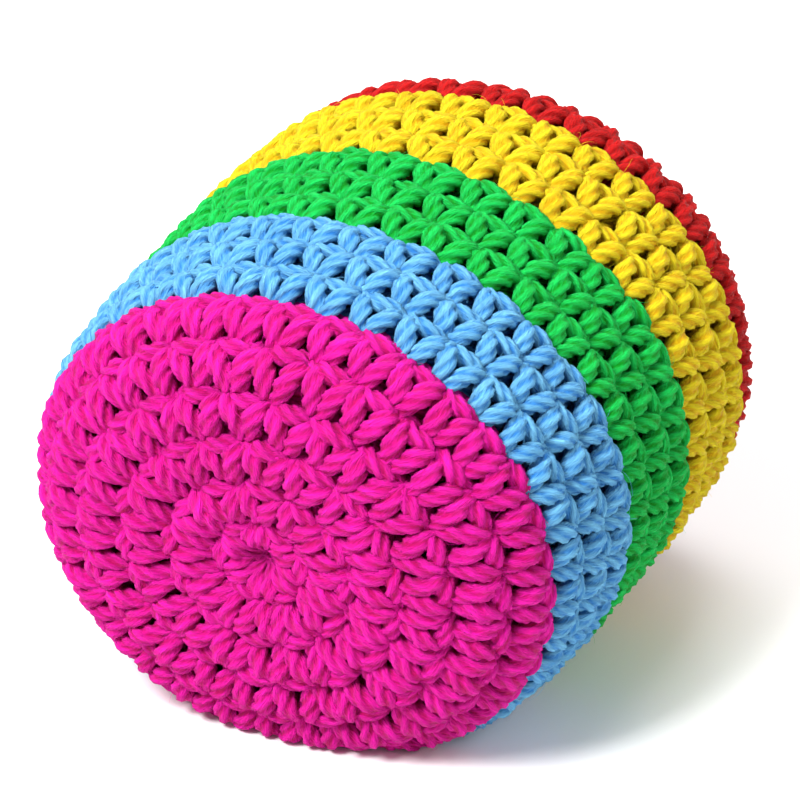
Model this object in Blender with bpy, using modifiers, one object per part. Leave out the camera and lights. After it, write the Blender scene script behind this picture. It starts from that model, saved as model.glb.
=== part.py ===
"""A crocheted footbag: a short stuffed barrel that lies on its side.

Five lengths of yarn, worked in rounds of single crochet, make the cover: a front cap, three
bands and a rear cap. A tied liner bag inside it holds the pellets. They all settle on the floor
together, so each layer is flat underneath at its own depth. Metres, +Z up, and the front cap
faces -Y.
"""

import math

import bmesh
import bpy
import numpy as np

OBJECT_NAME = "footbag"

# The stuffed barrel
BAG_DIAMETER = 0.050
BAG_LENGTH = 0.0560
SQUARENESS = 4.8
DIMPLE_DEPTH = 0.0012
DIMPLE_RADIUS = 0.0042

# How it lies: the front is a little lower than the rear, the fill spreads at the floor, and
# the whole bag sags until it is wider than it is tall
TILT = math.radians(5)
SETTLED_DEPTH = 0.0034
SETTLED_EDGE = 0.0012
BULGE_SHARE = 0.022
WIDENING_SHARE = 0.05

# The crocheted cover
COVER_THICKNESS = 0.0034
ROUND_GROOVE = 0.0005
YARN_DIAMETER = 0.0016
FRONT_RING_RADIUS = 0.0013
DRAWSTRING_RADIUS = 0.0012
RING_INSET = 0.0004
SECTION_GAP = 0.0003
RING_GAP = 0.0003

# Each section, from the front cap to the rear cap: its rounds of stitches, its share of the
# cover's length from pole to pole, and its colour
CAP_ROUNDS = 6
BAND_ROUNDS = 3
FRONT_CAP_SHARE = 0.286
BAND_SHARE = 0.135
REAR_CAP_SHARE = 1 - FRONT_CAP_SHARE - 3 * BAND_SHARE
SECTIONS = (
    ("front_cap", CAP_ROUNDS, FRONT_CAP_SHARE, (0.80, 0.006, 0.35)),
    ("blue_band", BAND_ROUNDS, BAND_SHARE, (0.17, 0.51, 0.96)),
    ("green_band", BAND_ROUNDS, BAND_SHARE, (0.003, 0.53, 0.09)),
    ("yellow_band", BAND_ROUNDS, BAND_SHARE, (1.0, 0.80, 0.016)),
    ("rear_cap", CAP_ROUNDS, REAR_CAP_SHARE, (0.66, 0.003, 0.004)),
)

# The liner bag, its gathered neck and its tie
LINER_CLEARANCE = 0.0004
LINER_THICKNESS = 0.0005
NECK_RADIUS = 0.0022
NECK_HEIGHT = 0.0032
PUCKER_RADIUS = 0.0100
TIE_DIAMETER = 0.0012
TIE_GAP = 0.0003
FILL_GAP = 0.0003

# Fineness of the meshes
AROUND = 36
POINTS_PER_ROUND = 3
LINER_AROUND = 24
LINER_POINTS = 15
PUCKER_POINTS = 4
RING_STEPS = 18
RING_SIDES = 8
CURVE_SAMPLES = 2000
HALVINGS = 40
MERGE_DISTANCE = 0.00001


# The meridian: half of the barrel's outline, from the front pole to the rear pole

def dimple(radius):
    """How far the ends are drawn in at this distance from the axis."""
    return DIMPLE_DEPTH * np.exp(-((radius / DIMPLE_RADIUS) ** 2))


def layer_point(turn, depth):
    """Distance from the axis and place along it, on the layer at this depth under the outside.

    The turn is -90 degrees at the front pole and 90 degrees at the rear pole.
    """
    reach = (np.abs(np.cos(turn)) ** SQUARENESS + np.abs(np.sin(turn)) ** SQUARENESS) ** (
        -1 / SQUARENESS
    )
    radius = (BAG_DIAMETER / 2 - depth) * reach * np.cos(turn)
    along = (BAG_LENGTH / 2 - depth) * reach * np.sin(turn)
    return radius, along - np.sign(along) * dimple(radius)


def depth_of(radius, along):
    """The depth of the layer that each point lies on, found by halving."""
    length = np.abs(along) + dimple(radius)
    low = np.full(radius.shape, -COVER_THICKNESS)
    high = np.full(radius.shape, min(BAG_DIAMETER, BAG_LENGTH) / 2) - SECTION_GAP
    for _ in range(HALVINGS):
        middle = (low + high) / 2
        outside = (radius / (BAG_DIAMETER / 2 - middle)) ** SQUARENESS + (
            length / (BAG_LENGTH / 2 - middle)
        ) ** SQUARENESS > 1
        high = np.where(outside, middle, high)
        low = np.where(outside, low, middle)
    return middle


TURNS = np.linspace(-math.pi / 2, math.pi / 2, CURVE_SAMPLES)
MERIDIAN = np.column_stack(layer_point(TURNS, 0.0))
LENGTHS = np.concatenate([[0.0], np.cumsum(np.linalg.norm(np.diff(MERIDIAN, axis=0), axis=1))])
MERIDIAN_LENGTH = LENGTHS[-1]


def turn_at(length):
    """The turn at this length of cover from the front pole."""
    return np.interp(length, LENGTHS, TURNS)


def length_at_radius(radius, rear=False):
    """The length of cover from the front pole to a circle of this radius on one of the ends."""
    half = len(TURNS) // 2
    if rear:
        return np.interp(-radius, -MERIDIAN[half:, 0], LENGTHS[half:])
    return np.interp(radius, MERIDIAN[:half, 0], LENGTHS[:half])


# Turning, settling and finishing

def settled(points):
    """Points around an upright axis, laid on the floor with the bag's weight on them."""
    radius = np.hypot(points[:, 0], points[:, 1])
    depth = depth_of(radius, points[:, 2])
    y = points[:, 2] * math.cos(TILT) + points[:, 1] * math.sin(TILT)
    z = points[:, 2] * math.sin(TILT) - points[:, 1] * math.cos(TILT)
    lowest = (MERIDIAN[:, 1] * math.sin(TILT) - MERIDIAN[:, 0] * math.cos(TILT)).min()
    z = z - lowest - SETTLED_DEPTH
    floor = np.maximum(depth - ROUND_GROOVE, 0)
    over = (z - floor + SETTLED_EDGE).clip(0, 2 * SETTLED_EDGE)
    z = np.where(z - floor > SETTLED_EDGE, z, floor + over**2 / (4 * SETTLED_EDGE))
    spread = 1 + BULGE_SHARE * (1 - z / (BAG_DIAMETER / 2)).clip(0, None) ** 2
    x = points[:, 0] * spread * (1 + WIDENING_SHARE)
    return np.column_stack([x, y * spread, z * (1 - WIDENING_SHARE)])


def material(name, colour, roughness):
    made = bpy.data.materials.new(name)
    made.use_nodes = True
    shader = made.node_tree.nodes["Principled BSDF"]
    shader.inputs["Base Color"].default_value = (*colour, 1)
    shader.inputs["Roughness"].default_value = roughness
    shader.inputs["Metallic"].default_value = 0
    return made


def finished(guide, colour, roughness):
    """The guide as its modifiers make it, settled on the floor, in its place under the empty."""
    bpy.context.view_layer.update()
    shape = guide.evaluated_get(bpy.context.evaluated_depsgraph_get())
    mesh = bpy.data.meshes.new_from_object(shape)
    points = np.array([guide.matrix_world @ vertex.co for vertex in mesh.vertices])
    mesh.vertices.foreach_set("co", settled(points).ravel())
    shell = bmesh.new()
    shell.from_mesh(mesh)
    bmesh.ops.recalc_face_normals(shell, faces=shell.faces)
    shell.to_mesh(mesh)
    shell.free()
    mesh.shade_smooth()
    mesh.set_sharp_from_angle(angle=math.radians(50))
    name = guide.name.removesuffix("_guide")
    mesh.name = name
    mesh.materials.clear()
    mesh.materials.append(material(name, colour, roughness))
    part = bpy.data.objects.new(name, mesh)
    parts.objects.link(part)
    part.parent = footing
    bpy.data.objects.remove(guide)
    return part


def turned(name, profile, closed, steps):
    """A guide that a Screw turns from a profile of radius and place along the axis."""
    mesh = bpy.data.meshes.new(name)
    count = len(profile)
    edges = [(i, (i + 1) % count) for i in range(count if closed else count - 1)]
    mesh.from_pydata([(radius, 0, along) for radius, along in profile], edges, [])
    guide = bpy.data.objects.new(name + "_guide", mesh)
    bpy.context.scene.collection.objects.link(guide)
    screw = guide.modifiers.new("turn", "SCREW")
    screw.steps = steps
    screw.render_steps = steps
    screw.use_merge_vertices = True
    screw.merge_threshold = MERGE_DISTANCE
    return guide


for old in list(bpy.data.objects):
    bpy.data.objects.remove(old)
parts = bpy.data.collections.new(OBJECT_NAME)
bpy.context.scene.collection.children.link(parts)
footing = bpy.data.objects.new("footing", None)
parts.objects.link(footing)


# The cover: five sections of rounds, each a ridge with a groove on either side

RING_HOLE = {
    "front_cap": FRONT_RING_RADIUS + YARN_DIAMETER / 2 + RING_GAP,
    "rear_cap": DRAWSTRING_RADIUS + YARN_DIAMETER / 2 + RING_GAP,
}


def section_profile(name, rounds, start_share, end_share):
    """The closed profile of one section: ridged outside, plain inside."""
    start = start_share * MERIDIAN_LENGTH + SECTION_GAP / 2
    end = end_share * MERIDIAN_LENGTH - SECTION_GAP / 2
    if name == "front_cap":
        start = length_at_radius(RING_HOLE[name])
    if name == "rear_cap":
        end = length_at_radius(RING_HOLE[name], rear=True)
    outside = []
    for step in range(rounds * POINTS_PER_ROUND + 1):
        share = step / (rounds * POINTS_PER_ROUND)
        ridge = (1 + math.cos(math.tau * share * rounds)) / 2
        turn = turn_at(start + (end - start) * share)
        outside.append(layer_point(turn, ROUND_GROOVE * ridge))
    inner_steps = rounds * (2 if rounds == CAP_ROUNDS else 1)
    inside = []
    for step in range(inner_steps + 1):
        turn = turn_at(start + (end - start) * step / inner_steps)
        inside.append(layer_point(turn, COVER_THICKNESS))
    return outside[::-1] + inside


worked_share = 0.0
for section, rounds, section_share, colour in SECTIONS:
    profile = section_profile(section, rounds, worked_share, worked_share + section_share)
    finished(turned(section, profile, True, AROUND), colour, 0.85)
    worked_share += section_share


# The yarn rings at the poles: the starting ring in front, and the drawn end behind

def yarn_ring(name, radius, along, colour):
    """A closed loop of yarn around the axis."""
    curve = bpy.data.curves.new(name, "CURVE")
    curve.dimensions = "3D"
    curve.bevel_depth = YARN_DIAMETER / 2
    curve.bevel_resolution = RING_SIDES // 2 - 2
    spline = curve.splines.new("POLY")
    spline.use_cyclic_u = True
    spline.points.add(RING_STEPS - 1)
    for step, point in enumerate(spline.points):
        turn = math.tau * step / RING_STEPS
        point.co = (radius * math.cos(turn), radius * math.sin(turn), along, 1)
    guide = bpy.data.objects.new(name + "_guide", curve)
    bpy.context.scene.collection.objects.link(guide)
    return finished(guide, colour, 0.85)


FRONT_COLOUR = SECTIONS[0][-1]
REAR_COLOUR = SECTIONS[-1][-1]
ring_depth = RING_INSET + YARN_DIAMETER / 2
ring_place = BAG_LENGTH / 2 - DIMPLE_DEPTH - ring_depth
yarn_ring("front_ring", FRONT_RING_RADIUS, -ring_place, FRONT_COLOUR)
yarn_ring("rear_drawstring", DRAWSTRING_RADIUS, ring_place, REAR_COLOUR)


# The liner bag: it fills the cover, and puckers into a gathered neck at the rear

LINER_DEPTH = COVER_THICKNESS + LINER_CLEARANCE
PUCKER_FLOOR_RADIUS = NECK_RADIUS + TIE_GAP + TIE_DIAMETER + TIE_GAP


def liner_body():
    """The liner's outline from the front pole to where its rear starts to pucker."""
    end = turn_at(length_at_radius(PUCKER_RADIUS, rear=True))
    turns = np.linspace(-math.pi / 2, end, LINER_POINTS * 8)
    dense = np.column_stack(layer_point(turns, LINER_DEPTH))
    lengths = np.concatenate([[0.0], np.cumsum(np.linalg.norm(np.diff(dense, axis=0), axis=1))])
    places = np.linspace(0, lengths[-1], LINER_POINTS)
    return [(np.interp(s, lengths, dense[:, 0]), np.interp(s, lengths, dense[:, 1])) for s in places]


body = liner_body()
body[0] = (0.0, body[0][1])
rim_radius, rim_along = body[-1]
neck_top = BAG_LENGTH / 2 - LINER_DEPTH - DIMPLE_DEPTH
pucker_floor = neck_top - NECK_HEIGHT
pucker = []
for step in range(1, PUCKER_POINTS + 1):
    share = step / PUCKER_POINTS
    ease = share * share * (3 - 2 * share)
    radius = rim_radius + (PUCKER_FLOOR_RADIUS - rim_radius) * share
    pucker.append((radius, rim_along + (pucker_floor - rim_along) * ease))
neck = [(NECK_RADIUS, pucker_floor), (NECK_RADIUS, neck_top)]
liner_profile = body + pucker + neck
liner = turned("liner_bag", liner_profile[::-1], False, LINER_AROUND)
wall = liner.modifiers.new("film", "SOLIDIFY")
wall.thickness = LINER_THICKNESS
wall.offset = -1
wall.use_even_offset = True
finished(liner, (0.82, 0.84, 0.86), 0.35)


# The tie around the neck

tie_curve = (PUCKER_FLOOR_RADIUS + NECK_RADIUS) / 2
bpy.ops.mesh.primitive_torus_add(
    major_segments=RING_STEPS,
    minor_segments=RING_SIDES,
    major_radius=tie_curve,
    minor_radius=TIE_DIAMETER / 2,
    location=(0, 0, pucker_floor + TIE_GAP + TIE_DIAMETER / 2),
)
tie = bpy.context.object
tie.name = "liner_tie_guide"
bpy.context.view_layer.update()
finished(tie, (0.75, 0.73, 0.68), 0.8)


# The pellets, as the mass that they lie in

def inset(profile, depth):
    """The profile moved inwards along its normals, and closed on the axis at the rear."""
    points = np.array(profile)
    along = np.gradient(points, axis=0)
    along /= np.linalg.norm(along, axis=1)[:, None]
    normal = np.column_stack([-along[:, 1], along[:, 0]])
    moved = points + depth * normal
    moved[0, 0] = 0
    return [tuple(point) for point in moved] + [(0.0, moved[-1, 1])]


fill_profile = inset(body + pucker, LINER_THICKNESS + FILL_GAP)
fill = turned("pellet_fill", fill_profile[::-1], False, LINER_AROUND)
finished(fill, (0.55, 0.55, 0.52), 0.45)


# The middle of the finished bag's footprint stands on the origin

pieces = [part for part in parts.objects if part.type == "MESH"]
along_floor = [vertex.co.y for part in pieces for vertex in part.data.vertices]
footing.location = (0, -(min(along_floor) + max(along_floor)) / 2, 0)
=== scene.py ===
"""A crocheted footbag: pellets in a tied liner, inside a cover of single crochet in five colours.

The bag's values are those of the frame's solids. The yarn follows them stitch by stitch.
"""

import math

import bpy
import numpy as np
from mathutils import Euler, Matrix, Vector


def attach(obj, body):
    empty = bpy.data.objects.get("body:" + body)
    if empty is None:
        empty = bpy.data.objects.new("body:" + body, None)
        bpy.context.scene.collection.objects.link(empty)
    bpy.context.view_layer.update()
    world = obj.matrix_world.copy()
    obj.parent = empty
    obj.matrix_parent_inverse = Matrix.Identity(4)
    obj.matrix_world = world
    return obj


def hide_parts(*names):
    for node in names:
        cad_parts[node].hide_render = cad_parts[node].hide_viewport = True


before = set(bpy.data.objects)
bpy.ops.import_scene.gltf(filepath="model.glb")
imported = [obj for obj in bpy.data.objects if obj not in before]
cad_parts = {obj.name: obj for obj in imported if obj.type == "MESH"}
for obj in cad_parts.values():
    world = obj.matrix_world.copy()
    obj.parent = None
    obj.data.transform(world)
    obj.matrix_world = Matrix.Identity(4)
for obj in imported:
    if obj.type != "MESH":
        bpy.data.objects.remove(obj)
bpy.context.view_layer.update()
bpy.ops.object.select_all(action="DESELECT")


# Pellets
# A handful of plastic granules, poured loose into the liner. They give the bag its weight
# and let it slump into a short barrel with a flat patch underneath.

# The stuffed barrel
BAG_DIAMETER = 0.050
BAG_LENGTH = 0.0560
SQUARENESS = 4.8
DIMPLE_DEPTH = 0.0012
DIMPLE_RADIUS = 0.0042
COVER_THICKNESS = 0.0034
ROUND_GROOVE = 0.0005

# How it lies
TILT = math.radians(5)
SETTLED_DEPTH = 0.0034
SETTLED_EDGE = 0.0012
BULGE_SHARE = 0.022
WIDENING_SHARE = 0.05

# The liner that the pellets lie in, and its gathered rear
LINER_CLEARANCE = 0.0004
LINER_THICKNESS = 0.0005
LINER_DEPTH = COVER_THICKNESS + LINER_CLEARANCE
FILL_DEPTH = LINER_DEPTH + LINER_THICKNESS
PUCKER_RADIUS = 0.0100
PUCKER_STEPS = 12
NECK_RADIUS = 0.0022
NECK_HEIGHT = 0.0032
NECK_TOP = BAG_LENGTH / 2 - COVER_THICKNESS - LINER_CLEARANCE - DIMPLE_DEPTH
PUCKER_FLOOR = NECK_TOP - NECK_HEIGHT

PELLET_SIZES = (0.0034, 0.0032, 0.0027)
PELLET_SEGMENTS = 8
PELLET_RINGS = 6
PELLET_SPACING = 0.0036
PELLET_NUDGE_SHARE = 0.04
PELLET_SCALES = (0.93, 1.03)
PELLET_SEED = 11
PELLET_COLOURS = ((0.62, 0.61, 0.56), (0.42, 0.43, 0.41))

OUTLINE_SAMPLES = 2000
HALVINGS = 24
DEEPEST_SHARE = 0.99


def drawn_in(radius):
    """How far the bag's ends are drawn in at this distance from the axis."""
    return DIMPLE_DEPTH * np.exp(-((radius / DIMPLE_RADIUS) ** 2))


def layer(turn, depth):
    """Radius and place along the axis, on the layer at this depth under the outside."""
    cosine, sine = np.cos(turn), np.sin(turn)
    reach = (np.abs(cosine) ** SQUARENESS + np.abs(sine) ** SQUARENESS) ** (-1 / SQUARENESS)
    radius = (BAG_DIAMETER / 2 - depth) * reach * cosine
    along = (BAG_LENGTH / 2 - depth) * reach * sine
    return radius, along - np.sign(along) * drawn_in(radius)


def depth_of(radius, along):
    """The depth of the layer that each point lies on, found by halving."""
    length = np.abs(along) + drawn_in(radius)
    low = np.full(radius.shape, -COVER_THICKNESS)
    high = np.full(radius.shape, DEEPEST_SHARE * BAG_DIAMETER / 2)
    for _ in range(HALVINGS):
        middle = (low + high) / 2
        wide = (radius / (BAG_DIAMETER / 2 - middle)) ** SQUARENESS
        outside = wide + (length / (BAG_LENGTH / 2 - middle)) ** SQUARENESS > 1
        high = np.where(outside, middle, high)
        low = np.where(outside, low, middle)
    return middle


# The outline from the front pole to the rear one, and how far along it each point is
TURNS = np.linspace(-math.pi / 2, math.pi / 2, OUTLINE_SAMPLES)
OUTLINE = np.column_stack(layer(TURNS, 0.0))
RUN = np.concatenate([[0.0], np.cumsum(np.linalg.norm(np.diff(OUTLINE, axis=0), axis=1))])
LOWEST = (OUTLINE[:, 1] * math.sin(TILT) - OUTLINE[:, 0] * math.cos(TILT)).min()


def lying(points):
    """Points around an upright axis, laid on the floor with the bag's weight on them."""
    depth = depth_of(np.hypot(points[:, 0], points[:, 1]), points[:, 2])
    y = points[:, 2] * math.cos(TILT) + points[:, 1] * math.sin(TILT)
    z = points[:, 2] * math.sin(TILT) - points[:, 1] * math.cos(TILT) - LOWEST - SETTLED_DEPTH
    floor = np.maximum(depth - ROUND_GROOVE, 0)
    over = (z - floor + SETTLED_EDGE).clip(0, 2 * SETTLED_EDGE)
    z = np.where(z - floor > SETTLED_EDGE, z, floor + over**2 / (4 * SETTLED_EDGE))
    spread = 1 + BULGE_SHARE * (1 - z / (BAG_DIAMETER / 2)).clip(0, None) ** 2
    x = points[:, 0] * spread * (1 + WIDENING_SHARE)
    return np.column_stack([x, y * spread, z * (1 - WIDENING_SHARE)])


def around(turn, radius, along):
    """Points at this turn around the axis."""
    return np.column_stack([radius * np.cos(turn), radius * np.sin(turn), along])


TOP_AND_BOTTOM = [
    lying(around(np.full(OUTLINE_SAMPLES, side), *OUTLINE.T))[:, 1]
    for side in (-math.pi / 2, math.pi / 2)
]
FOOT_MIDDLE = (np.min(TOP_AND_BOTTOM) + np.max(TOP_AND_BOTTOM)) / 2


def settled(points):
    """The same, with the middle of the footprint on the origin, as in the frame."""
    return lying(points) - (0, FOOT_MIDDLE, 0)


def eased(share):
    """0 to 1, starting and ending gently."""
    return share * share * (3 - 2 * share)


def pucker_outline():
    """Radii, and the place along the axis where the liner's gathered rear lies at each."""
    radius, along = layer(np.linspace(0, math.pi / 2, OUTLINE_SAMPLES), LINER_DEPTH)
    rim = np.interp(PUCKER_RADIUS, radius[::-1], along[::-1])
    share = np.linspace(0, 1, PUCKER_STEPS)
    radii = NECK_RADIUS + (PUCKER_RADIUS - NECK_RADIUS) * share
    return radii, PUCKER_FLOOR + (rim - PUCKER_FLOOR) * eased(share)


def pellet_places(chance):
    """Close-packed places inside the liner, nudged so that they look poured."""
    count = int(BAG_LENGTH / PELLET_SPACING)
    grid = np.mgrid[-count:count, -count:count, -count:count].reshape(3, -1).T.astype(float)
    columns, rows, storeys = grid.T
    packed = [
        columns + (rows % 2) / 2 + (storeys % 2) / 2,
        (rows + (storeys % 2) / 3) * math.sqrt(3) / 2,
        storeys * math.sqrt(2 / 3),
    ]
    places = np.column_stack(packed) * PELLET_SPACING
    places += chance.normal(0, PELLET_NUDGE_SHARE * PELLET_SPACING, places.shape)
    radius = np.hypot(places[:, 0], places[:, 1])
    near = (radius < BAG_DIAMETER / 2) & (np.abs(places[:, 2]) < BAG_LENGTH / 2)
    places, radius = places[near], radius[near]
    inside = depth_of(radius, places[:, 2]) > FILL_DEPTH + PELLET_SIZES[0] / 2
    inside &= places[:, 2] < np.interp(radius, *pucker_outline()) - PELLET_SIZES[0] / 2
    return settled(places[inside])


class Wire:
    """A value in a material. Arithmetic on it adds Math nodes."""

    def __init__(self, tree, socket=None):
        self.tree = tree
        self.socket = socket

    def node(self, kind, sockets, output=0, **settings):
        added = self.tree.nodes.new("ShaderNode" + kind)
        for name, value in settings.items():
            setattr(added, name, value)
        for name, value in sockets.items():
            if isinstance(value, Wire):
                self.tree.links.new(value.socket, added.inputs[name])
            else:
                added.inputs[name].default_value = value
        return Wire(self.tree, added.outputs[output])

    def noise(self, place, scale, detail, roughness=0.5):
        sockets = {"Vector": place, "Scale": scale, "Detail": detail, "Roughness": roughness}
        return self.node("TexNoise", sockets)

    def math(self, operation, first, second=0.0):
        return self.node("Math", {0: first, 1: second}, operation=operation)

    def blended(self, start, end):
        """One colour at 0 and the other at 1."""
        return self.node("Mix", {0: self, 6: (*start, 1), 7: (*end, 1)}, output=2, data_type="RGBA")

    def between(self, low, high):
        """0 at low and 1 at high, and held there beyond."""
        return self.node("MapRange", {"Value": self, "From Min": low, "From Max": high})

    def __add__(self, other):
        return self.math("ADD", self, other)

    def __sub__(self, other):
        return self.math("SUBTRACT", self, other)

    def __rsub__(self, other):
        return self.math("SUBTRACT", other, self)

    def __mul__(self, other):
        return self.math("MULTIPLY", self, other)

    __radd__ = __add__
    __rmul__ = __mul__


def new_material(name, **constants):
    """A material, its wiring and its shader, with these constants on the shader's sockets."""
    material = bpy.data.materials.new(name)
    material.use_nodes = True
    shader = material.node_tree.nodes["Principled BSDF"]
    for socket, value in constants.items():
        shader.inputs[socket.replace("_", " ")].default_value = value
    return material, Wire(material.node_tree), shader


def wire_up(shader, **values):
    for socket, value in values.items():
        shader.id_data.links.new(value.socket, shader.inputs[socket.replace("_", " ")])


def new_piece(mesh):
    mesh.shade_smooth()
    piece = bpy.data.objects.new(mesh.name, mesh)
    bpy.context.scene.collection.objects.link(piece)
    return piece


def fit_in_place(piece, node, material):
    """Gives the piece its material, and puts it in the place of the frame's node."""
    piece.data.materials.append(material)
    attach(piece, "root")
    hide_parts(node)


def pellet_plastic():
    """Satin granules of recycled grey, no two quite the same shade."""
    material, wire, shader = new_material("pellet plastic", Roughness=0.38, Specular_IOR_Level=0.45)
    place = wire.node("TexCoord", {}, output="Object")
    speck = wire.noise(place, scale=260.0, detail=1.0)
    wire_up(shader, Base_Color=speck.between(0.4, 0.6).blended(*PELLET_COLOURS))
    return material


def pellets():
    chance = np.random.default_rng(PELLET_SEED)
    places = pellet_places(chance)
    bpy.ops.mesh.primitive_uv_sphere_add(
        segments=PELLET_SEGMENTS, ring_count=PELLET_RINGS, radius=0.5
    )
    one = bpy.context.object
    points = np.array([vertex.co for vertex in one.data.vertices]) * PELLET_SIZES
    faces = [list(face.vertices) for face in one.data.polygons]
    bpy.data.objects.remove(one)
    made, joined = [], []
    for number, place in enumerate(places):
        turned = np.array(Euler(chance.uniform(0, math.tau, 3)).to_matrix())
        made.append(points @ turned.T * chance.uniform(*PELLET_SCALES) + place)
        joined += [[corner + number * len(points) for corner in face] for face in faces]
    mesh = bpy.data.meshes.new("pellets")
    mesh.from_pydata(np.concatenate(made).tolist(), [], joined)
    fit_in_place(new_piece(mesh), "pellet_fill", pellet_plastic())


pellets()


# Liner bag
# A small bag of thin milky film that keeps the pellets in. It fills the cover, and its mouth is
# gathered into pleats behind the rear cap, where the tie closes it.

TIE_DIAMETER = 0.0012
TIE_GAP = 0.0003
PUCKER_FLOOR_RADIUS = NECK_RADIUS + TIE_GAP + TIE_DIAMETER + TIE_GAP
FILM_THICKNESS = 0.0002
FILM_SEGMENTS = 144
FILM_RINGS = 72
FILM_PUCKER_STEPS = 60
# The film's colour over a pellet, and its painted shade in the dips between pellets
FILM_AND_SHADE_COLOURS = ((0.78, 0.80, 0.82), (0.60, 0.62, 0.64))
PLEAT_COUNT = 18
PLEAT_HEIGHT = 0.00035
NECK_PLEAT_SHARE = 0.14
NECK_PLEAT_REACH = 1.2

# The neck from its foot to the middle of its mouth, as shares of its radius and its height
NECK_SHARES = ((1.00, 0.0), (0.90, 0.2), (0.90, 0.75), (1.15, 0.95), (1.05, 1.0), (0.0, 0.97))


def film_outline():
    """Radius, place along the axis and depth of pleat, from the front pole to the mouth."""
    rear = np.linspace(0, math.pi / 2, OUTLINE_SAMPLES)
    last = rear[layer(rear, LINER_DEPTH)[0] > PUCKER_RADIUS][-1]
    radius, along = layer(np.linspace(-math.pi / 2, last, OUTLINE_SAMPLES), LINER_DEPTH)
    share = np.linspace(0, 1, FILM_PUCKER_STEPS)[1:]
    drawn = radius[-1] + (PUCKER_FLOOR_RADIUS - radius[-1]) * share
    sunk = along[-1] + (PUCKER_FLOOR - along[-1]) * eased(share)
    neck_radius, neck_along = np.array(NECK_SHARES).T * [[NECK_RADIUS], [NECK_HEIGHT]]
    pleat = 4 * share * (1 - share) * PLEAT_HEIGHT
    return (
        np.concatenate([radius, drawn, neck_radius]),
        np.concatenate([along, sunk, PUCKER_FLOOR + neck_along]),
        np.concatenate([radius * 0, pleat, neck_radius * 0]),
    )


def film_points(unit):
    """The points of a ball one metre in radius, laid on the liner's outline."""
    outline = film_outline()
    steps = np.hypot(np.diff(outline[0]), np.diff(outline[1]))
    travelled = np.concatenate([[0.0], np.cumsum(steps)])
    place = np.arccos(-unit[:, 2].clip(-1, 1)) / math.pi * travelled[-1]
    radius, along, pleat = (np.interp(place, travelled, values) for values in outline)
    turn = np.arctan2(unit[:, 1], unit[:, 0])
    wave = np.cos(PLEAT_COUNT * turn)
    in_neck = (along > PUCKER_FLOOR) & (radius < NECK_RADIUS * NECK_PLEAT_REACH)
    return around(turn, radius * (1 + NECK_PLEAT_SHARE * wave * in_neck), along + pleat * wave)


def milky_film():
    """Thin film that shows the pellets under it as soft dents, and crinkles between them, with
    painted shade in the dips between the pellets.
    """
    material, wire, shader = new_material("milky film", Specular_IOR_Level=0.5)
    place = wire.node("TexCoord", {}, output="Object")
    pressed = wire.node("TexVoronoi", {"Vector": place, "Scale": 1 / PELLET_SPACING})
    crinkle = wire.noise(place, scale=420.0, detail=2.0)
    relief = {"Height": crinkle * 0.3 - pressed, "Strength": 0.5, "Distance": 0.001}
    # Painted shade: the film is darker in the dips between the pellets, lighter over them.
    wire_up(
        shader,
        Base_Color=pressed.between(0.1, 0.7).blended(*FILM_AND_SHADE_COLOURS),
        Roughness=crinkle * 0.25 + 0.22,
        Normal=wire.node("Bump", relief, output="Normal"),
    )
    return material


def liner_bag():
    bpy.ops.mesh.primitive_uv_sphere_add(segments=FILM_SEGMENTS, ring_count=FILM_RINGS, radius=1)
    piece = bpy.context.object
    piece.name = "liner_film_bag"
    unit = np.array([vertex.co for vertex in piece.data.vertices])
    piece.data.vertices.foreach_set("co", settled(film_points(unit)).ravel())
    piece.data.shade_smooth()
    wall = piece.modifiers.new("film", "SOLIDIFY")
    wall.thickness = FILM_THICKNESS
    wall.offset = -1
    bpy.ops.object.modifier_apply(modifier=wall.name)
    fit_in_place(piece, "liner_bag", milky_film())


liner_bag()


# Liner tie
# Two turns of thin twisted cord, drawn in round the gathered neck of the liner. The sweep
# that makes it also makes all of the yarn that follows.

MILLIMETRE = 0.001
TIE_TURNS = 2.2
TIE_LEVEL_TURN = 0.15
TIE_STEPS = 90
TIE_PLY_TURN = 0.0036
UNDYED = (0.70, 0.66, 0.55)

# The strand: the plies stand out of it, and a ply turn is the length in which they go once round
STRAND_SIDES = 12
PLY_COUNT = 4
PLY_SHARE = 0.19
ANY_DIRECTION = (0.3, 0.5, 0.8)

# The stray fibres, rooted a little inside the strand
FIBRE_POINTS = 6
FIBRE_SIDES = 3
FIBRE_RADIUS = 0.000018
FIBRE_LENGTHS = (0.0008, 0.0028)
FIBRE_RISES = (0.0001, 0.0006)
FIBRE_BENDS = (1.6, 3.0)
FIBRE_CURL = 0.45
FIBRE_SLOWING = 0.3
FIBRE_TAPER = 0.6
FIBRE_ROOT_SHARE = 0.85
FIBRE_DEPTH = 0.0009
FIBRE_TRIES = 12

# The map "OFBake": rows of strand, and over them a strip with the ends and the fibres. A fibre
# has a cell there, with its side at the left and its two ends beside it.
BAKE_MARGIN = 0.02
FIBRE_STRIP = 0.06
END_SPOT_SHARES = (0.4, 0.16)
END_SPOT_PLACES = (0.03, 0.09)
CELLS_ACROSS_FOR_ONE_DOWN = 16
CELL_AREA = (0.8, 0.4)
CELL_AREA_PLACE = (0.15, 0.45)
CELL_MARGIN = 0.1
CELL_SIDE = (0.60, 0.8)
CELL_END = (0.10, 0.3)
CELL_END_PLACES = ((0.68, 0.0), (0.84, 0.0))

# A fibre takes its colour from a place of its own along the strand, on the crest of a ply, clear of
# the painted shade between the plies
FIBRE_COLOUR_RUN = 900
PLY_CREST = 1 / (2 * PLY_COUNT)

# The strand's colour runs from a shaded to a lit copy of the dye: streaks along it, and painted
# shade that darkens it with depth between these millimetres
STREAKS_ALONG = 0.55
STREAKS_ROUND = 3.4
STREAK_TWIST = 0.7
PAINTED_SHADE_DEPTHS = (1.2, 3.0)
SHADED_SHARE = 0.72
LIT_SHARE = 1.2
LIT_ADDED = 0.006


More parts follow.
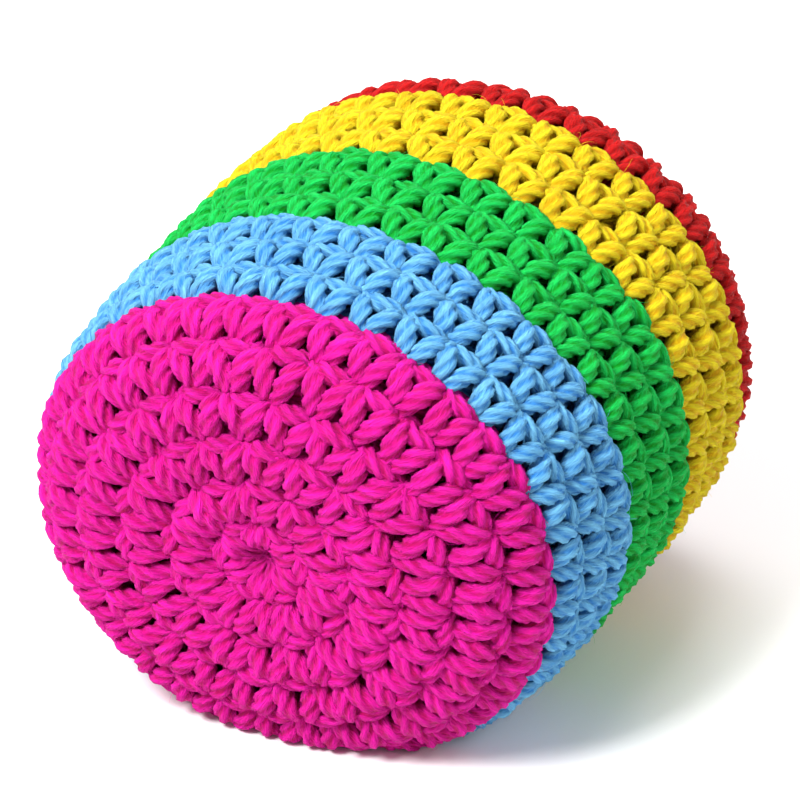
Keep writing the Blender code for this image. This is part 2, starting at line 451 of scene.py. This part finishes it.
def directions(centres, closed):
    """The length from each centre to the next, and the direction of the line there."""
    ahead = np.roll(centres, -1, 0) - centres
    behind = centres - np.roll(centres, 1, 0)
    if not closed:
        ahead[-1], behind[0] = behind[-1], ahead[0]
    lengths = np.linalg.norm(ahead, axis=1)
    tangents = ahead / lengths[:, None] + behind / np.linalg.norm(behind, axis=1)[:, None]
    return lengths, tangents / np.linalg.norm(tangents, axis=1)[:, None]


def carried_frames(tangents):
    """Two directions across the line at each point, carried along it without turning."""
    side = np.zeros_like(tangents)
    across = np.cross(tangents[0], ANY_DIRECTION)
    for number, tangent in enumerate(tangents):
        across = across - tangent * (across @ tangent)
        across /= math.sqrt(across @ across)
        side[number] = across
    return side, np.cross(tangents, side)


def plied_points(centres, radii, side, other, twist):
    """The strand's surface, ring by ring, with its plies at this twist in turns."""
    columns = np.arange(STRAND_SIDES) / STRAND_SIDES
    plies = 1 - PLY_SHARE * np.cos(math.tau * PLY_COUNT * columns)
    turn = math.tau * (columns[None, :] + twist[:-1, None])
    radius = radii[:, None] * plies[None, :]
    points = centres[:, None] + (radius * np.cos(turn))[..., None] * side[:, None]
    return (points + (radius * np.sin(turn))[..., None] * other[:, None]).reshape(-1, 3)


def tube_faces(rings, sides, closed=False):
    """The quads of a tube, and the ring and the column at each of their corners."""
    ring, column = np.mgrid[0 : rings if closed else rings - 1, 0:sides]
    ring = ring.reshape(-1, 1) + (0, 0, 1, 1)
    column = column.reshape(-1, 1) + (0, 1, 1, 0)
    return ring % rings * sides + column % sides, ring, column


def strand_maps(ring, column, rings, travelled, thickness):
    """Both maps of the strand's quads. "OFBake" has its lengths laid out side by side."""
    share = column / STRAND_SIDES
    rows = max(1, round(math.sqrt(travelled[-1] / (math.tau * thickness))))
    per_row = math.ceil(rings / rows)
    row = ring[:, :1] // per_row
    along = (ring - row * per_row) / per_row
    up = (row + BAKE_MARGIN + share * (1 - 2 * BAKE_MARGIN)) / rows * (1 - FIBRE_STRIP)
    maps = ((travelled / MILLIMETRE)[ring], share), (along, up)
    return [np.stack(pair, 2).reshape(-1, 2) for pair in maps]


def end_maps():
    """Both maps of the two faces that close a strand."""
    turn = math.tau * np.arange(STRAND_SIDES) / STRAND_SIDES
    spot = np.column_stack([np.cos(turn), np.sin(turn)]) * END_SPOT_SHARES * FIBRE_STRIP
    first, last = [(place, 1 - FIBRE_STRIP / 4) for place in END_SPOT_PLACES]
    spots = np.concatenate([spot[::-1] * (-1, 1) + first, spot + last])
    return np.zeros((2 * STRAND_SIDES, 2)), spots


def stray_fibres(count, centres, radii, tangents, side, other, chance):
    """Short fibres that stand off the strand where it shows, as points of thin tubes."""
    ring = chance.integers(0, len(centres), count * FIBRE_TRIES)
    turn = chance.uniform(0, math.tau, len(ring))[:, None]
    out = np.cos(turn) * side[ring] + np.sin(turn) * other[ring]
    root = centres[ring] + FIBRE_ROOT_SHARE * radii[ring, None] * out
    seen = depth_of(np.hypot(root[:, 0], root[:, 1]), root[:, 2]) < FIBRE_DEPTH
    ring, out, root = ring[seen][:count], out[seen][:count], root[seen][:count]
    ahead = tangents[ring] * chance.choice([-1, 1], len(ring))[:, None]
    sway = np.cross(ahead, out)
    share = np.linspace(0, 1, FIBRE_POINTS)[None, :, None]
    one_each = (len(ring), 1, 1)
    length = chance.uniform(*FIBRE_LENGTHS, one_each)
    rise = chance.uniform(*FIBRE_RISES, one_each)
    curl = chance.normal(0, FIBRE_CURL, one_each)
    bend = chance.uniform(*FIBRE_BENDS, one_each)
    path = root[:, None] + ahead[:, None] * length * share * (1 - FIBRE_SLOWING * share)
    path = path + out[:, None] * rise * np.sin(share * bend)
    path = path + sway[:, None] * length * curl * share * share
    corner = math.tau * np.arange(FIBRE_SIDES)[None, None, :, None] / FIBRE_SIDES
    thick = FIBRE_RADIUS * (1 - FIBRE_TAPER * share)[..., None]
    spread = np.cos(corner) * out[:, None, None] + np.sin(corner) * sway[:, None, None]
    return (path[:, :, None] + thick * spread).reshape(-1, 3)


def fibre_faces(first, count):
    """The faces of these fibres, the quads and then the two ends of each."""
    points = FIBRE_POINTS * FIBRE_SIDES
    quads, _, _ = tube_faces(FIBRE_POINTS, FIBRE_SIDES)
    faces = []
    for start in range(first, first + count * points, points):
        faces += (quads + start).tolist()
        faces.append(list(range(start, start + FIBRE_SIDES))[::-1])
        faces.append(list(range(start + points - FIBRE_SIDES, start + points)))
    return faces


def fibre_maps(count, chance):
    """Both maps of the fibres."""
    _, ring, column = tube_faces(FIBRE_POINTS, FIBRE_SIDES)
    shares = np.stack([ring / (FIBRE_POINTS - 1), column / FIBRE_SIDES], 2).reshape(-1, 2)
    ends = np.array([(0, 0), (1, 0), (0, 1)] * 2, float)
    beside = np.repeat(CELL_END_PLACES, 3, axis=0)
    cell = np.concatenate([shares * CELL_SIDE, ends * CELL_END + beside])
    across = math.ceil(math.sqrt(count * CELLS_ACROSS_FOR_ONE_DOWN))
    down = math.ceil(count / across)
    number = np.arange(count)
    corner = np.column_stack([number % across, number // across])[:, None] + CELL_MARGIN
    size = (CELL_AREA[0] / across, FIBRE_STRIP * CELL_AREA[1] / down)
    place = (CELL_AREA_PLACE[0], 1 - FIBRE_STRIP * CELL_AREA_PLACE[1])
    bake = (corner + cell[None]) * size + place
    plain = np.concatenate([shares * 0.5, ends * 0.1])[None]
    plain = plain + chance.uniform(0, FIBRE_COLOUR_RUN, (count, 1, 1))
    return (plain * (1, 0) + (0, PLY_CREST)).reshape(-1, 2), bake.reshape(-1, 2)


def strand(name, centres, radii, ply_turn, closed=False, fibres=0, chance=None):
    """A plied strand swept along these centres, with its stray fibres, laid in place.

    Its map "yarn" holds the millimetres along it and the share round it, its attribute "depth"
    the millimetres under the bag's outside, and "OFBake" a place of its own for every face.
    """
    lengths, tangents = directions(centres, closed)
    side, other = carried_frames(tangents)
    travelled = np.concatenate([[0.0], np.cumsum(lengths)])
    twist = travelled / ply_turn
    if closed:
        miss = math.atan2(side[-1] @ other[0], side[-1] @ side[0]) / math.tau
        twist = travelled / travelled[-1] * (round(travelled[-1] / ply_turn) - miss)
    points = plied_points(centres, radii, side, other, twist)
    rings = len(centres)
    quads, ring, column = tube_faces(rings, STRAND_SIDES, closed)
    faces = quads.tolist()
    maps = [strand_maps(ring, column, rings, travelled, radii.mean())]
    if not closed:
        faces.append(list(range(STRAND_SIDES))[::-1])
        faces.append(list(range((rings - 1) * STRAND_SIDES, rings * STRAND_SIDES)))
        maps.append(end_maps())
    if fibres:
        hairs = stray_fibres(fibres, centres, radii, tangents, side, other, chance)
        count = len(hairs) // (FIBRE_POINTS * FIBRE_SIDES)
        faces += fibre_faces(len(points), count)
        points = np.concatenate([points, hairs])
        maps.append(fibre_maps(count, chance))
    mesh = bpy.data.meshes.new(name)
    mesh.from_pydata(settled(points).tolist(), [], faces)
    for title, parts in zip(("yarn", "OFBake"), zip(*maps)):
        flat = np.concatenate(parts).astype(np.float32).ravel()
        mesh.uv_layers.new(name=title).uv.foreach_set("vector", flat)
    depth = depth_of(np.hypot(points[:, 0], points[:, 1]), points[:, 2])
    held = mesh.attributes.new("depth", "FLOAT", "POINT")
    held.data.foreach_set("value", (depth / MILLIMETRE).astype(np.float32))
    return mesh


def fibre_material(name, colour, ply_turn):
    """Matt dyed strand: fine fibres along it, and painted shade between its plies and down in the
    holes.
    """
    material, wire, shader = new_material(
        name, Specular_IOR_Level=0.14, Sheen_Weight=0.02, Sheen_Roughness=0.4
    )
    place = wire.node("TexCoord", {}, output="Object")
    yarn = wire.node("UVMap", {}, uv_map="yarn")
    run = wire.node("SeparateXYZ", {0: yarn}, output="X")
    side = wire.node("SeparateXYZ", {0: yarn}, output="Y")
    depth = wire.node("Attribute", {}, output="Fac", attribute_name="depth")

    # The streaks lie on a cylinder, so that they meet where the map closes round the strand
    straight = (side + run * (STREAK_TWIST * MILLIMETRE / ply_turn)) * math.tau
    round_it = [wire.math(axis, straight) * STREAKS_ROUND for axis in ("COSINE", "SINE")]
    along_it = {"X": run * STREAKS_ALONG, "Y": round_it[0], "Z": round_it[1]}
    fine = wire.node("CombineXYZ", along_it)
    fibres = wire.noise(fine, scale=1.0, detail=4.0, roughness=0.7)
    wisps = wire.noise(fine, scale=3.1, detail=2.0, roughness=0.6)
    threads = fibres.between(0.38, 0.62) * 0.6 + wisps.between(0.35, 0.65) * 0.4
    cloud = wire.noise(place, scale=240.0, detail=2.0).between(0.35, 0.65)
    crease = wire.math("COSINE", side * (math.tau * PLY_COUNT)) * -0.5 + 0.5
    open_ply = crease.between(0.0, 0.5)

    # Painted shade: open_ply makes the strand darker in the creases between its plies. The streaks
    # and the cloud are the yarn's own tone.
    light = threads * 0.7 + cloud * 0.15 + open_ply * 0.45 - 0.25
    # Painted shade: darker down in the holes, the deeper the point lies.
    lit = light - depth.between(*PAINTED_SHADE_DEPTHS)
    colour = np.array(colour)
    # The colour runs from a shaded copy of the dye, darker and more saturated, to a lit copy,
    # brighter: painted shade and painted light.
    shaded = colour**2 * SHADED_SHARE
    relief = {"Height": threads * 0.55 + open_ply * 0.45, "Strength": 1.0, "Distance": 0.0005}
    wire_up(
        shader,
        Base_Color=lit.blended(shaded, (colour * LIT_SHARE + LIT_ADDED).clip(0, 1)),
        Roughness=threads * 0.25 + 0.5,
        Normal=wire.node("Bump", relief, output="Normal"),
    )
    return material


def tie_line():
    """The cord's centres: level turns, each lying on the one before."""
    share = np.linspace(0, 1, TIE_STEPS)
    turn = share * TIE_TURNS * math.tau
    climb = TIE_DIAMETER * (share * TIE_TURNS - TIE_LEVEL_TURN).clip(0, 1)
    radius = np.full(TIE_STEPS, (PUCKER_FLOOR_RADIUS + NECK_RADIUS) / 2)
    return around(turn, radius, PUCKER_FLOOR + TIE_GAP + TIE_DIAMETER / 2 + climb)


tie = strand("tie_cord", tie_line(), np.full(TIE_STEPS, TIE_DIAMETER / 2), TIE_PLY_TURN)
# The cord lies deeper than the holes, so the material paints nearly all of it in the shaded copy of
# its colour: painted shade.
undyed_cord = fibre_material("undyed cord", UNDYED, TIE_PLY_TURN)
fit_in_place(new_piece(tie), "liner_tie", undyed_cord)


# Front ring
# The loop of magenta yarn that the cover is started on. Six stitches are worked into it, and it
# is then pulled almost shut, so that only a little of it shows down in the dimple.

MAGENTA = (0.84, 0.003, 0.40)
PLY_TURN = 0.0064
FRONT_RING_RADIUS = 0.0013
RING_INSET = 0.0004
RING_YARN_RADIUS = 0.0008
RING_PLACE = BAG_LENGTH / 2 - DIMPLE_DEPTH - RING_INSET - RING_YARN_RADIUS
RING_STEPS = 48
RING_TURNS = np.linspace(0, math.tau, RING_STEPS, endpoint=False)
PULLED_SHARE = 0.85


def yarn_ring(name, radius, along, yarn_radius):
    """A closed ring of yarn around the bag's axis."""
    radius, along = (np.broadcast_to(value, RING_STEPS) for value in (radius, along))
    line = around(RING_TURNS, radius, along)
    return new_piece(strand(name, line, np.full(RING_STEPS, yarn_radius), PLY_TURN, closed=True))


magenta_yarn = fibre_material("magenta yarn", MAGENTA, PLY_TURN)
ring = yarn_ring(
    "front_ring_yarn", FRONT_RING_RADIUS, -RING_PLACE, PULLED_SHARE * RING_YARN_RADIUS
)
fit_in_place(ring, "front_ring", magenta_yarn)


# Front cap
# Six rounds of single crochet in magenta, each with six stitches more than the one before, so
# that the cap lies flat until it turns over at the edge. Each stitch is a loop pulled up through
# the one below.

MAGENTA_RADIUS = 0.00082
CAP_ROUNDS = 6
BAND_ROUNDS = 3
BAND_COUNT = 3
FIRST_STITCHES = 6
STITCH_COUNTS = (
    [FIRST_STITCHES * (number + 1) for number in range(CAP_ROUNDS)]
    + [FIRST_STITCHES * CAP_ROUNDS] * (BAND_COUNT * BAND_ROUNDS)
    + [FIRST_STITCHES * (CAP_ROUNDS - number) for number in range(CAP_ROUNDS)]
)

# Where each round ends, along the outline from the front pole
FRONT_CAP_SHARE = 0.286
BAND_SHARE = 0.135
ROUND_EDGES = RUN[-1] * np.concatenate(
    [
        np.linspace(0, FRONT_CAP_SHARE, CAP_ROUNDS + 1),
        FRONT_CAP_SHARE + BAND_SHARE / BAND_ROUNDS * np.arange(1, BAND_COUNT * BAND_ROUNDS),
        np.linspace(FRONT_CAP_SHARE + BAND_COUNT * BAND_SHARE, 1, CAP_ROUNDS + 1),
    ]
)
CENTRE_HOLE = 0.0008
DRAWN_HOLE = 0.0021

# The rounds are worked anticlockwise, seen from the front, and the first starts at the seam. A
# stitch stands back by the lean from the one it is worked into, and the two stitches of an
# increase stand apart. All are then moved most of the way to even spacing.
WORKED = -1
SEAM = math.radians(115)
LEAN_SHARE = -0.40
PAIR_SHARE = 0.24
EVENING_SHARE = 0.85

# How unlike the stitches are: across in stitches, up in rounds, depth in millimetres, and how
# loosely each is pulled up. Across and up, the points within a stitch stray as well.
STITCH_SPREADS = (0.028, 0.026, 0.05, 0.035)
POINT_SPREAD = 0.010

# Near the poles the yarn is squeezed. Its radius there is at most the first share of half a
# stitch's width, and at least the second of the nominal one.
ROOM_SHARE = 0.65
THINNEST_SHARE = 0.4
POLE_MARGIN = 0.0001
FIBRE_COUNT = 420

# One stitch, from the back of the last one to the back of the next: the place across in
# stitches and up in rounds, the depth in millimetres, the thickness as a share, and the
# number of steps to the next point.
STITCH_SHARES = np.array(
    [
        (-0.52, 0.78, 2.20, 1.25, 1),
        (-0.50, 0.32, 2.35, 1.35, 1),
        (-0.22, -0.02, 2.10, 1.10, 1),
        (-0.10, -0.13, 1.60, 0.94, 2),
        (-0.11, -0.04, 1.16, 0.96, 2),
        (-0.145, 0.10, 0.78, 1.02, 3),
        (-0.20, 0.29, 0.38, 1.12, 3),
        (-0.285, 0.51, 0.20, 1.18, 3),
        (-0.35, 0.70, 0.48, 1.12, 2),
        (-0.37, 0.84, 1.05, 1.02, 2),
        (-0.29, 0.95, 1.50, 0.98, 2),
        (0.0, 0.98, 1.80, 0.98, 2),
        (0.29, 0.95, 1.50, 0.98, 2),
        (0.37, 0.84, 1.05, 1.02, 2),
        (0.35, 0.70, 0.48, 1.12, 2),
        (0.285, 0.51, 0.20, 1.18, 3),
        (0.20, 0.29, 0.38, 1.12, 3),
        (0.145, 0.10, 0.78, 1.02, 2),
        (0.11, -0.04, 1.16, 0.96, 1),
        (0.10, -0.13, 1.60, 0.94, 1),
        (0.10, 0.08, 2.05, 1.10, 1),
        (0.0, 0.38, 2.40, 1.25, 1),
        (0.04, 0.70, 2.40, 1.25, 1),
        (0.38, 0.90, 1.65, 1.05, 1),
        (0.58, 0.87, 1.10, 1.02, 1),
        (0.78, 0.85, 0.66, 1.08, 2),
        (1.00, 0.84, 0.48, 1.12, 3),
        (1.22, 0.85, 0.66, 1.08, 2),
        (1.44, 0.89, 1.20, 1.00, 1),
        (1.50, 0.96, 1.70, 1.05, 1),
        (1.28, 0.99, 1.85, 1.15, 2),
        (1.00, 1.00, 1.90, 1.15, 2),
        (0.76, 0.98, 1.90, 1.15, 1),
        (0.60, 0.93, 1.95, 1.04, 1),
    ]
)
LOOP_TOP = 11

# The first stitch of a round starts one round lower, so its yarn climbs behind the others first.
CLIMBING_SHARES = np.array(
    [
        (-0.36, 0.12, 2.00, 1.10, 2),
        (-0.62, 0.42, 2.10, 1.15, 2),
        (-0.64, 0.80, 2.15, 1.15, 2),
        (-0.44, 0.72, 2.30, 1.20, 2),
    ]
)
FIRST_SHARES = np.concatenate([CLIMBING_SHARES, STITCH_SHARES[1:]])


def holes_below(count, below, tops_below):
    """The angles of the holes that the two legs of each stitch go through."""
    sector, place = np.divmod(np.arange(count), count // FIRST_STITCHES)
    per_sector = below // FIRST_STITCHES
    if count > below:
        left = right = sector * per_sector + np.maximum(place - 1, 0)
    elif count < below:
        right = sector * per_sector + place + 1
        left = np.where(place == 0, right - 1, right)
    else:
        left = right = np.arange(count)
    lean = WORKED * LEAN_SHARE * math.tau / below
    holes = np.column_stack([tops_below[left], tops_below[right]]) + lean
    if count > below:
        apart = np.select([place == 0, place == 1], [-PAIR_SHARE, PAIR_SHARE])
        holes = holes + (apart * (WORKED * math.tau / count))[:, None]
    return holes


def stitch_angles():
    """For each round, the angles of its stitches' tops, and of each leg's hole below."""
    tops, holes = [], []
    for number, count in enumerate(STITCH_COUNTS):
        steps = np.arange(count) * (WORKED * math.tau / count)
        if number == 0:
            hole = SEAM + steps[:, None] * np.ones((1, 2))
        else:
            hole = holes_below(count, STITCH_COUNTS[number - 1], tops[-1])
            even = steps + np.mean(hole.mean(1) - steps)
            hole = hole + EVENING_SHARE * (even[:, None] - hole)
        tops.append(steps + np.mean(hole.mean(1) - steps))
        holes.append(hole)
    return tops, holes


TOPS, HOLES = stitch_angles()


def worked_line(first_round, rounds, radius, chance):
    """The yarn's control points through these rounds: angle, run from the front pole, depth,
    radius and steps. No two stitches are pulled up quite alike."""
    found = []
    for number in range(first_round, first_round + rounds):
        count = STITCH_COUNTS[number]
        pitch = WORKED * math.tau / count
        low, high = ROUND_EDGES[number : number + 2]
        low = max(low, CENTRE_HOLE)
        high = min(high, RUN[-1] - DRAWN_HOLE)
        for place, (top, (left, right)) in enumerate(zip(TOPS[number], HOLES[number])):
            shares = STITCH_SHARES if place or number == first_round else FIRST_SHARES
            across, up, depth, thick, steps = shares.T
            in_left_leg = np.arange(len(up)) < LOOP_TOP + len(up) - len(STITCH_SHARES)
            shape = chance.normal(0, POINT_SPREAD, (2, len(up)))
            moved, raised, sunk, pulled = chance.normal(0, STITCH_SPREADS)
            angle = np.where(in_left_leg, left, right)
            angle = angle + (top - angle) * eased(up.clip(0, 1))
            angle = angle + (across * (1 + pulled) + moved + shape[0]) * pitch
            angle += WORKED * math.tau * number
            run = low + (high - low) * (up + raised + shape[1])
            run = run.clip(POLE_MARGIN, RUN[-1] - POLE_MARGIN)
            room = ROOM_SHARE * math.pi * np.interp(run, RUN, OUTLINE[:, 0]) / count
            room = room.clip(THINNEST_SHARE * radius, None)
            width = np.minimum(thick * (1 + pulled) * radius, room)
            found.append(np.column_stack([angle, run, (depth + sunk) * MILLIMETRE, width, steps]))
    return np.concatenate(found)


def smooth_line(points):
    """A Catmull-Rom curve through control points whose last column is the steps to the next."""
    led = np.concatenate([points[:1], points, points[-1:]])
    steps = points[:-1, -1].astype(int)
    owner = np.repeat(np.arange(len(steps)), steps)
    first = np.concatenate([[0], np.cumsum(steps)[:-1]])
    t = ((np.arange(steps.sum()) - first[owner]) / steps[owner])[:, None]
    a, b, c, d = (led[owner + k, :-1] for k in range(4))
    bent = (2 * a - 5 * b + 4 * c - d) * t**2 + (3 * b - a - 3 * c + d) * t**3
    return 0.5 * (2 * b + (c - a) * t + bent)


def worked_piece(name, node, material, radius, first_round, rounds, seed):
    """One colour of the cover, worked round after round from a single length of yarn."""
    chance = np.random.default_rng(seed)
    line = smooth_line(worked_line(first_round, rounds, radius, chance))
    centres = around(line[:, 0], *layer(np.interp(line[:, 1], RUN, TURNS), line[:, 2]))
    mesh = strand(name, centres, line[:, 3], PLY_TURN, fibres=FIBRE_COUNT, chance=chance)
    piece = new_piece(mesh)
    fit_in_place(piece, node, material)


worked_piece(
    "front_cap_yarn", "front_cap", magenta_yarn, MAGENTA_RADIUS,
    first_round=0, rounds=CAP_ROUNDS, seed=1,
)


# Light blue band
# Three straight rounds of thirty-six stitches, joined on where the front cap ends.

LIGHT_BLUE = (0.20, 0.565, 0.96)
BLUE_RADIUS = 0.00074
BLUE_START = CAP_ROUNDS

blue_yarn = fibre_material("light blue yarn", LIGHT_BLUE, PLY_TURN)
worked_piece(
    "blue_band_yarn", "blue_band", blue_yarn, BLUE_RADIUS,
    first_round=BLUE_START, rounds=BAND_ROUNDS, seed=2,
)


# Green band
# Three more rounds, over the middle of the bag, where it is widest.

GREEN = (0.003, 0.63, 0.105)
GREEN_RADIUS = 0.00075
GREEN_START = BLUE_START + BAND_ROUNDS

green_yarn = fibre_material("green yarn", GREEN, PLY_TURN)
worked_piece(
    "green_band_yarn", "green_band", green_yarn, GREEN_RADIUS,
    first_round=GREEN_START, rounds=BAND_ROUNDS, seed=3,
)


# Yellow band
# The last three straight rounds, after which the cover starts to close.

YELLOW = (1.0, 0.72, 0.010)
YELLOW_RADIUS = 0.00078
YELLOW_START = GREEN_START + BAND_ROUNDS

yellow_yarn = fibre_material("yellow yarn", YELLOW, PLY_TURN)
worked_piece(
    "yellow_band_yarn", "yellow_band", yellow_yarn, YELLOW_RADIUS,
    first_round=YELLOW_START, rounds=BAND_ROUNDS, seed=4,
)


# Rear cap
# Six rounds in red. After the first, each loses six stitches, until the cover is worked shut
# over the filled liner.

RED = (0.66, 0.003, 0.004)
RED_RADIUS = 0.00077
REAR_START = YELLOW_START + BAND_ROUNDS

red_yarn = fibre_material("red yarn", RED, PLY_TURN)
worked_piece(
    "rear_cap_yarn", "rear_cap", red_yarn, RED_RADIUS,
    first_round=REAR_START, rounds=CAP_ROUNDS, seed=5,
)


# Rear drawstring
# The end of the red yarn, threaded over and under the last six stitches and drawn tight. It
# closes the bag.

DRAWSTRING_RADIUS = 0.0012
DRAWN_WAVE = 0.0003

wave = DRAWN_WAVE * np.cos(FIRST_STITCHES * RING_TURNS)
drawstring = yarn_ring(
    "rear_drawstring_yarn", DRAWSTRING_RADIUS + wave, RING_PLACE + wave, RING_YARN_RADIUS
)
fit_in_place(drawstring, "rear_drawstring", red_yarn)


# Stage
# A pale floor, three soft lamps, a white room and the camera.

FLOOR_SIZE = 6
FLOOR_COLOUR = (0.9, 0.9, 0.9, 1)
FLOOR_ROUGHNESS = 0.3
ROOM_LIGHT = 0.42
LAMP_AIM = 0.02
CAMERA_AIM = 0.0225

# Azimuth and elevation in degrees, distance and size in metres, power in watts
LAMPS = {
    "key": (-25, 48, 0.8, 0.30, 10.4),
    "fill": (95, 35, 0.9, 0.5, 2.8),
    "top": (200, 70, 0.9, 0.5, 5.2),
}
CAMERA_VIEW = (26.5, 27.1, 0.60)
CAMERA_LENS = 300

bpy.ops.mesh.primitive_plane_add(size=FLOOR_SIZE)
floor = bpy.context.object
floor.name = "floor"
pale, _, _ = new_material("pale floor", Base_Color=FLOOR_COLOUR, Roughness=FLOOR_ROUGHNESS)
floor.data.materials.append(pale)


def aim(thing, height, azimuth, elevation, distance):
    """Puts a lamp or a camera there, facing this height on the bag."""
    turn, rise = math.radians(azimuth), math.radians(elevation)
    level = math.cos(rise)
    back = Vector((math.sin(turn) * level, -math.cos(turn) * level, math.sin(rise)))
    thing.location = Vector((0, 0, height)) + back * distance
    thing.rotation_euler = back.to_track_quat("Z", "Y").to_euler()


for name, (azimuth, elevation, distance, size, power) in LAMPS.items():
    bpy.ops.object.light_add(type="AREA")
    lamp = bpy.context.object
    lamp.name = name
    lamp.data.shape = "SQUARE"
    lamp.data.size = size
    lamp.data.energy = power
    aim(lamp, LAMP_AIM, azimuth, elevation, distance)

# The room shows white, and lights the bag less than that
world = bpy.data.worlds.new("studio")
bpy.context.scene.world = world
world.use_nodes = True
wire = Wire(world.node_tree)
seen = wire.node("LightPath", {}, output="Is Camera Ray")
for ray in ("Is Glossy Ray", "Is Transmission Ray"):
    seen = wire.math("MAXIMUM", seen, wire.node("LightPath", {}, output=ray))
room = world.node_tree.nodes["Background"]
room.inputs["Color"].default_value = (1, 1, 1, 1)
wire_up(room, Strength=seen * (1 - ROOM_LIGHT) + ROOM_LIGHT)

bpy.ops.object.camera_add()
camera = bpy.context.object
camera.data.lens = CAMERA_LENS
camera.data.clip_start = 0.01
aim(camera, CAMERA_AIM, *CAMERA_VIEW)
bpy.context.scene.camera = camera
bpy.context.scene.view_settings.view_transform = "Standard"
